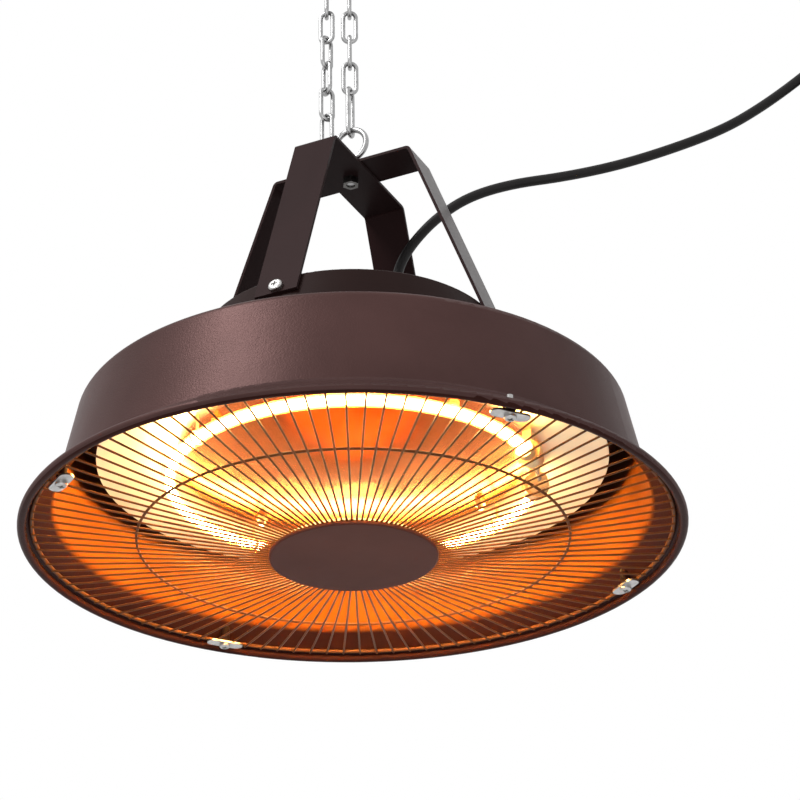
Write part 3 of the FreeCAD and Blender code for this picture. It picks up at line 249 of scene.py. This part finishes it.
class Shader:
    """A material with short calls for its nodes. Scales are per metre."""

    def __init__(self, name):
        self.material = bpy.data.materials.new(name)
        self.material.use_nodes = True
        self.tree = self.material.node_tree
        self.surface = self.tree.nodes["Principled BSDF"]
        coordinates = self.add("ShaderNodeTexCoord")
        self.place = coordinates.outputs["Object"]
        self.facing = coordinates.outputs["Normal"]

    def add(self, kind, **values):
        """New node with its properties and its unlinked inputs set; underscores stand for spaces."""
        node = self.tree.nodes.new(kind)
        for key, value in values.items():
            socket = key.replace("_", " ")
            if socket in node.inputs:
                node.inputs[socket].default_value = value
            else:
                setattr(node, key, value)
        return node

    def link(self, source, target):
        """Link an output to an input."""
        self.tree.links.new(source, target)

    def drive(self, name, source):
        """Link an output to an input of the surface shader."""
        self.link(source, self.surface.inputs[name])

    def set(self, **values):
        """Constants on the surface shader; underscores stand for spaces."""
        for key, value in values.items():
            self.surface.inputs[key.replace("_", " ")].default_value = value

    def noise(self, scale, detail):
        """Noise value over the surface."""
        node = self.add("ShaderNodeTexNoise", Scale=scale, Detail=detail, Roughness=0.55)
        self.link(self.place, node.inputs["Vector"])
        return node.outputs["Fac"]

    def ramp(self, value, *stops):
        """Colour ramp with two positions and their colours."""
        node = self.add("ShaderNodeValToRGB")
        for element, (position, colour) in zip(node.color_ramp.elements, stops):
            element.position = position
            element.color = (*colour, 1)
        self.link(value, node.inputs["Fac"])
        return node.outputs["Color"]

    def spread(self, value, low, high, start=0.0, end=1.0):
        """A value between a start and an end, spread between two numbers."""
        node = self.add("ShaderNodeMapRange", From_Min=start, From_Max=end, To_Min=low, To_Max=high)
        self.link(value, node.inputs["Value"])
        return node.outputs["Result"]

    def bump(self, value, strength, distance):
        """Bump on the surface from a value."""
        node = self.add("ShaderNodeBump", Strength=strength, Distance=distance)
        self.link(value, node.inputs["Height"])
        self.drive("Normal", node.outputs["Normal"])

    def math(self, operation, first, second):
        """One sum on two values, of which the second may be a number."""
        node = self.add("ShaderNodeMath", operation=operation)
        self.link(first, node.inputs[0])
        if isinstance(second, float):
            node.inputs[1].default_value = second
        else:
            self.link(second, node.inputs[1])
        return node.outputs["Value"]

    def vector(self, operation, first, second=None):
        """One vector operation; a second vector may be an output or three numbers."""
        node = self.add("ShaderNodeVectorMath", operation=operation)
        self.link(first, node.inputs[0])
        if isinstance(second, tuple):
            node.inputs[1].default_value = second
        elif second:
            self.link(second, node.inputs[1])
        return node.outputs["Value" if operation in ("LENGTH", "DOT_PRODUCT") else "Vector"]

    def sideways(self):
        """The place on the surface without its height, as an arrow from the upright axis."""
        return self.vector("MULTIPLY", self.place, (1, 1, 0))

    def distance(self):
        """Distance from the upright axis."""
        return self.vector("LENGTH", self.sideways())

    def height(self):
        """Height in the frame."""
        parts = self.add("ShaderNodeSeparateXYZ")
        self.link(self.place, parts.inputs["Vector"])
        return parts.outputs["Z"]

    def inner_side(self):
        """One on faces that look inward or down, and zero on the others."""
        outward = self.vector("NORMALIZE", self.sideways())
        raised = self.vector("ADD", outward, (0, 0, 1))
        return self.math("LESS_THAN", self.vector("DOT_PRODUCT", self.facing, raised), 0.0)

    def mottled(self, colour, scale, detail, dark, light, low=0.3, high=0.7):
        """A colour with darker and lighter patches."""
        value = self.noise(scale, detail)
        return self.ramp(value, (low, shade_of(colour, dark)), (high, shade_of(colour, light)))

    def clouded(self, colour):
        """A colour with soft lighter and darker clouds."""
        return self.mottled(colour, scale=14, detail=5, dark=0.88, light=1.14)

    def mixed(self, share, first, second):
        """Two colours mixed by a share of the second."""
        node = self.add("ShaderNodeMix", data_type="RGBA")
        self.link(share, node.inputs[MIX_SHARE])
        self.link(first, node.inputs[MIX_FIRST])
        self.link(second, node.inputs[MIX_SECOND])
        return node.outputs[MIX_RESULT]

    def colour(self, source):
        """Base colour from a node."""
        self.drive("Base Color", source)

    def roughness(self, scale, detail, low, high, more=None):
        """Uneven roughness, with more of it where a value says so."""
        value = self.spread(self.noise(scale, detail), low, high)
        self.drive("Roughness", self.math("ADD", value, more) if more else value)

    def grain(self, scale, detail, strength, distance):
        """Fine bumps of noise."""
        self.bump(self.noise(scale, detail), strength, distance)


def shade_of(colour, factor):
    """A colour made lighter or darker."""
    return tuple(min(1.0, c * factor) for c in colour)


def powder_coat(name, colour, roughness=0.4, gloss=0.2, grain=0.14, sheen=0.0):
    """Fine-textured powder coat with slight dust, which may show as a sheen at a slant."""
    s = Shader(name)
    s.colour(s.clouded(colour))
    s.roughness(scale=60, detail=3, low=roughness - 0.04, high=roughness + 0.05)
    s.grain(scale=1500, detail=2, strength=grain, distance=0.0002)
    s.set(Specular_IOR_Level=gloss, Sheen_Weight=sheen, Sheen_Roughness=0.25)
    return s.material


def shade_coat(name):
    """Bronze powder coat, with painted shade under the flare; inside the neck the lamp's orange glow is
    painted on, ending in a painted shadow above the reflector's rim.
    """
    s = Shader(name)
    inner = s.inner_side()
    within = s.spread(s.distance(), 1.0, 0.0, GLOW_EDGE_START, GLOW_EDGE_END)
    # Share of the painted shadow of the reflector's rim, rising with height
    rim_shadow_share = s.spread(s.height(), 0.0, 1.0, RIM_SHADOW_START, RIM_SHADOW_END)
    # The lamp's glow painted on the inner wall, turning into the painted shadow of the reflector's rim
    # higher up
    tint = s.mixed(rim_shadow_share, s.clouded(PAINTED_LAMP_GLOW), s.clouded(PAINTED_RIM_SHADOW))
    # Painted shade on the underside faces outside the neck, the painted glow and shadow inside it
    painted_inner_light_and_shade = s.mixed(within, s.clouded(FLARE_BRONZE_PAINTED_SHADE), tint)
    s.colour(s.mixed(inner, s.clouded(SHADE_BRONZE), painted_inner_light_and_shade))
    s.roughness(scale=60, detail=3, low=0.35, high=0.41)
    s.grain(scale=900, detail=3, strength=0.5, distance=0.0003)
    s.drive("Metallic", s.spread(inner, 0.3, 0.0))
    s.drive("Specular IOR Level", s.spread(inner, 0.1, 0.04))
    s.set(Specular_Tint=(*SHADE_EDGE_SHEEN, 1))
    return s.material


def zinc(name, colour, roughness=0.3):
    """Metal plating with a faint mottle."""
    s = Shader(name)
    s.colour(s.mottled(colour, scale=220, detail=4, dark=0.78, light=1.1))
    s.roughness(scale=160, detail=3, low=roughness - 0.08, high=roughness + 0.14)
    s.grain(scale=700, detail=2, strength=0.12, distance=0.0001)
    s.set(Metallic=1.0)
    return s.material


def rubber(name, colour):
    """Smooth rubber sheath with a soft sheen and fine dust."""
    s = Shader(name)
    s.colour(s.mottled(colour, scale=90, detail=4, dark=1.0, light=1.7, low=0.35, high=0.75))
    s.roughness(scale=300, detail=3, low=0.4, high=0.55)
    s.grain(scale=1800, detail=2, strength=0.08, distance=0.0001)
    s.set(Specular_IOR_Level=0.2)
    return s.material


def plastic(name, colour):
    """Moulded plastic with a fine spark-eroded grain."""
    s = Shader(name)
    s.colour(s.mottled(colour, scale=40, detail=3, dark=0.9, light=1.15))
    s.roughness(scale=250, detail=3, low=0.42, high=0.55)
    s.grain(scale=2200, detail=2, strength=0.15, distance=0.0001)
    return s.material


def ceramic(name, colour):
    """Unglazed ceramic."""
    s = Shader(name)
    s.colour(s.mottled(colour, scale=120, detail=5, dark=0.88, light=1.12))
    s.roughness(scale=300, detail=3, low=0.6, high=0.8)
    s.grain(scale=1600, detail=3, strength=0.2, distance=0.0002)
    return s.material


def bare_steel(name):
    """Rolled sheet steel, a little heat-tinted."""
    s = Shader(name)
    s.colour(s.ramp(s.noise(scale=30, detail=5), (0.25, STEEL_DARK), (0.75, STEEL_LIGHT)))
    s.roughness(scale=200, detail=4, low=0.3, high=0.5)
    s.set(Metallic=1.0)
    return s.material


def reflector_metal(name):
    """Spun sheet, gently waved by its forming: heat-tinted gold in the middle, pale and brushed outside."""
    s = Shader(name)
    brushed = s.spread(s.distance(), 0.0, 1.0, BRUSHED_START, BRUSHED_END)
    golden = s.ramp(s.noise(scale=25, detail=4), (0.3, GOLD_DARK), (0.7, GOLD_LIGHT))
    s.colour(s.mixed(brushed, golden, s.clouded(PALE_ALUMINIUM)))
    s.roughness(scale=40, detail=3, low=0.16, high=0.28, more=s.math("MULTIPLY", brushed, 0.35))
    s.grain(scale=22, detail=1, strength=0.25, distance=0.004)
    s.set(Metallic=1.0)
    return s.material


def glow(name, colour, strength, alpha=1.0):
    """Glowing lamp surface, a little uneven along its length."""
    s = Shader(name)
    tint = s.mottled(colour, scale=45, detail=3, dark=0.9, light=1.0, low=0.25, high=0.75)
    s.drive("Emission Color", tint)
    s.colour(tint)
    s.set(Emission_Strength=strength, Roughness=0.15, Alpha=alpha)
    return s.material


def woven(name, colour):
    """Woven strap with a fine twill."""
    s = Shader(name)
    wave = s.add("ShaderNodeTexWave", bands_direction="DIAGONAL", Scale=420.0, Distortion=1.5)
    s.link(s.place, wave.inputs["Vector"])
    twill = wave.outputs["Fac"]
    s.colour(s.ramp(twill, (0.2, shade_of(colour, 0.6)), (0.8, shade_of(colour, 1.5))))
    s.bump(twill, strength=0.5, distance=0.0004)
    s.set(Roughness=0.8)
    return s.material


def dress(material, *names):
    """Give CAD nodes a material."""
    for name in names:
        mesh = nodes[name].data
        mesh.materials.clear()
        mesh.materials.append(material)


def dress_coated():
    """Finish of the powder-coated parts."""
    dress(shade_coat("shade_coat"), "shade")
    dress(powder_coat("cap_coat", CAP_BRONZE, roughness=0.5, gloss=0.05), "top_cap", "clip_bosses")
    strap_coat = powder_coat("strap_coat", STRAP_BRONZE, roughness=0.34, gloss=0.03, grain=0.05, sheen=0.6)
    dress(strap_coat, "strap_lower", "strap_upper")
    dress(powder_coat("plate_coat", PLATE_BRONZE), "ceiling_plate", "ceiling_loop")
    dress(powder_coat("guard_coat", GUARD_BRONZE, gloss=0.1), "guard_grille")
    dress(powder_coat("disc_coat", DISC_BRONZE, roughness=0.5, gloss=0.06), "guard_disc")


def dress_metal():
    """Finish of the plated and bare metal parts."""
    dress(
        zinc("chain_zinc", CHAIN_ZINC),
        "hanger_ring", "chain_links_top", "chain_links_middle", "chain_end_links", "eye_bolt",
    )
    dress(
        zinc("fastener_zinc", FASTENER_ZINC, roughness=0.28),
        "strap_screws", "strap_nuts", "cap_screws", "cap_nuts",
        "reflector_spacers", "reflector_screws", "shield_posts", "shield_screws", "shield_nuts",
        "terminal_screws", "earth_screw", "disc_studs", "guard_clips", "clip_screws",
    )
    dress(zinc("nut_oxide", NUT_OXIDE), "eye_nuts")
    tinted_steel = zinc("tinted_steel", TINTED_STEEL, roughness=0.45)
    dress(tinted_steel, "lamp_holders", "lamp_supports", "reflector_nuts")
    dress(zinc("pin_nickel", PIN_NICKEL, roughness=0.22), "plug_pins")
    dress(reflector_metal("reflector_spun"), "reflector")
    dress(bare_steel("shield_sheet"), "heat_shield", "disc_retainer")


def dress_lamp():
    """Finish of the lamp and of the insulation round it."""
    dress(glow("quartz_glow", QUARTZ_GLOW, QUARTZ_STRENGTH, QUARTZ_ALPHA), "lamp_tube")
    dress(glow("filament_glow", FILAMENT_GLOW, FILAMENT_STRENGTH), "lamp_filament")
    dress(ceramic("lamp_ceramic", LAMP_CERAMIC), "lamp_end_caps", "lead_bushes")
    dress(ceramic("block_ceramic", BLOCK_CERAMIC), "terminal_block")
    dress(woven("glass_sleeve", GLASS_FIBRE), "lamp_leads")


def dress_mains():
    """Finish of the parts on the mains lead, and of the cut-out."""
    dress(woven("tie_webbing", WEBBING_BLACK), "coil_tie")
    dress(plastic("gland_moulding", GLAND_BLACK), "cable_gland", "gland_nut", "thermal_cutout")
    dress(plastic("plug_moulding", PLUG_BLACK), "plug_body")
    dress(rubber("sleeve_rubber", RUBBER_BLACK), "strain_relief", "inner_lead", "plug_sleeve")


# Studio

def seen_rays(tree):
    """One for rays that show the studio itself: to the camera, in reflections and through glass."""
    path = tree.nodes.new("ShaderNodeLightPath")
    share = path.outputs["Is Camera Ray"]
    for kind in ("Is Glossy Ray", "Is Transmission Ray"):
        either = tree.nodes.new("ShaderNodeMath")
        either.operation = "MAXIMUM"
        tree.links.new(share, either.inputs[0])
        tree.links.new(path.outputs[kind], either.inputs[1])
        share = either.outputs["Value"]
    return share


def floor_paint():
    """Pale paint, lifted towards white where it is seen, that still takes a shadow."""
    s = Shader("floor_paint")
    s.set(Base_Color=(*FLOOR_COLOUR, 1), Roughness=0.9, Specular_IOR_Level=0.1)
    s.set(Emission_Color=(1, 1, 1, 1))
    s.drive("Emission Strength", s.math("MULTIPLY", seen_rays(s.tree), FLOOR_LIFT))
    return s.material


def floor():
    """Plain pale floor, far below the heater."""
    bpy.ops.mesh.primitive_plane_add(size=FLOOR_SIZE, location=(0, 0, FLOOR_LEVEL))
    plane = bpy.context.object
    plane.name = "studio_floor"
    plane.data.materials.append(floor_paint())


def world():
    """White where it is seen, softer as a light."""
    backdrop = bpy.data.worlds.new("studio")
    backdrop.use_nodes = True
    bpy.context.scene.world = backdrop
    tree = backdrop.node_tree
    light = tree.nodes["Background"]
    light.inputs["Color"].default_value = (1, 1, 1, 1)
    light.inputs["Strength"].default_value = WORLD_LIGHT
    white = tree.nodes.new("ShaderNodeBackground")
    white.inputs["Color"].default_value = (1, 1, 1, 1)
    mix = tree.nodes.new("ShaderNodeMixShader")
    tree.links.new(seen_rays(tree), mix.inputs["Fac"])
    tree.links.new(light.outputs["Background"], mix.inputs[1])
    tree.links.new(white.outputs["Background"], mix.inputs[2])
    tree.links.new(mix.outputs["Shader"], tree.nodes["World Output"].inputs["Surface"])


def softbox(name, place, size, power):
    """Square lamp aimed at the heater."""
    data = bpy.data.lights.new(name, "AREA")
    data.size = size
    data.energy = power
    lamp = bpy.data.objects.new(name, data)
    lamp.location = place
    aim = Vector((0, 0, RIM_LEVEL / 2)) - lamp.location
    lamp.rotation_euler = aim.to_track_quat("-Z", "Y").to_euler()
    bpy.context.scene.collection.objects.link(lamp)


def camera_axes():
    """The camera's right, up and back directions after its yaw, pitch and roll."""
    ahead = Vector((
        math.sin(CAMERA_YAW) * math.cos(CAMERA_PITCH),
        math.cos(CAMERA_YAW) * math.cos(CAMERA_PITCH),
        math.sin(CAMERA_PITCH),
    ))
    right = Vector((math.cos(CAMERA_YAW), -math.sin(CAMERA_YAW), 0))
    up = right.cross(ahead)
    level = right * math.cos(CAMERA_ROLL) + up * math.sin(CAMERA_ROLL)
    top = up * math.cos(CAMERA_ROLL) - right * math.sin(CAMERA_ROLL)
    return level, top, -ahead


def camera():
    """Camera at the photograph's place, below the rim and looking up."""
    turn = Matrix.Rotation(CAMERA_AZIMUTH, 3, "Z")
    back = Vector((0, -math.cos(CAMERA_ELEVATION), math.sin(CAMERA_ELEVATION)))
    place = turn @ back * CAMERA_DISTANCE + Vector((0, 0, RIM_LEVEL))
    axes = Matrix([turn @ axis for axis in camera_axes()]).transposed()
    data = bpy.data.cameras.new("camera")
    data.lens = CAMERA_LENS
    eye = bpy.data.objects.new("camera", data)
    eye.matrix_world = Matrix.Translation(place) @ axes.to_4x4()
    bpy.context.scene.collection.objects.link(eye)
    bpy.context.scene.camera = eye


dress_coated()
dress_metal()
dress_lamp()
dress_mains()
mains_lead()
floor()
world()
softbox("key", KEY_PLACE, KEY_SIZE, KEY_POWER)
softbox("fill", FILL_PLACE, FILL_SIZE, FILL_POWER)
camera()
bpy.context.scene.view_settings.view_transform = "Standard"
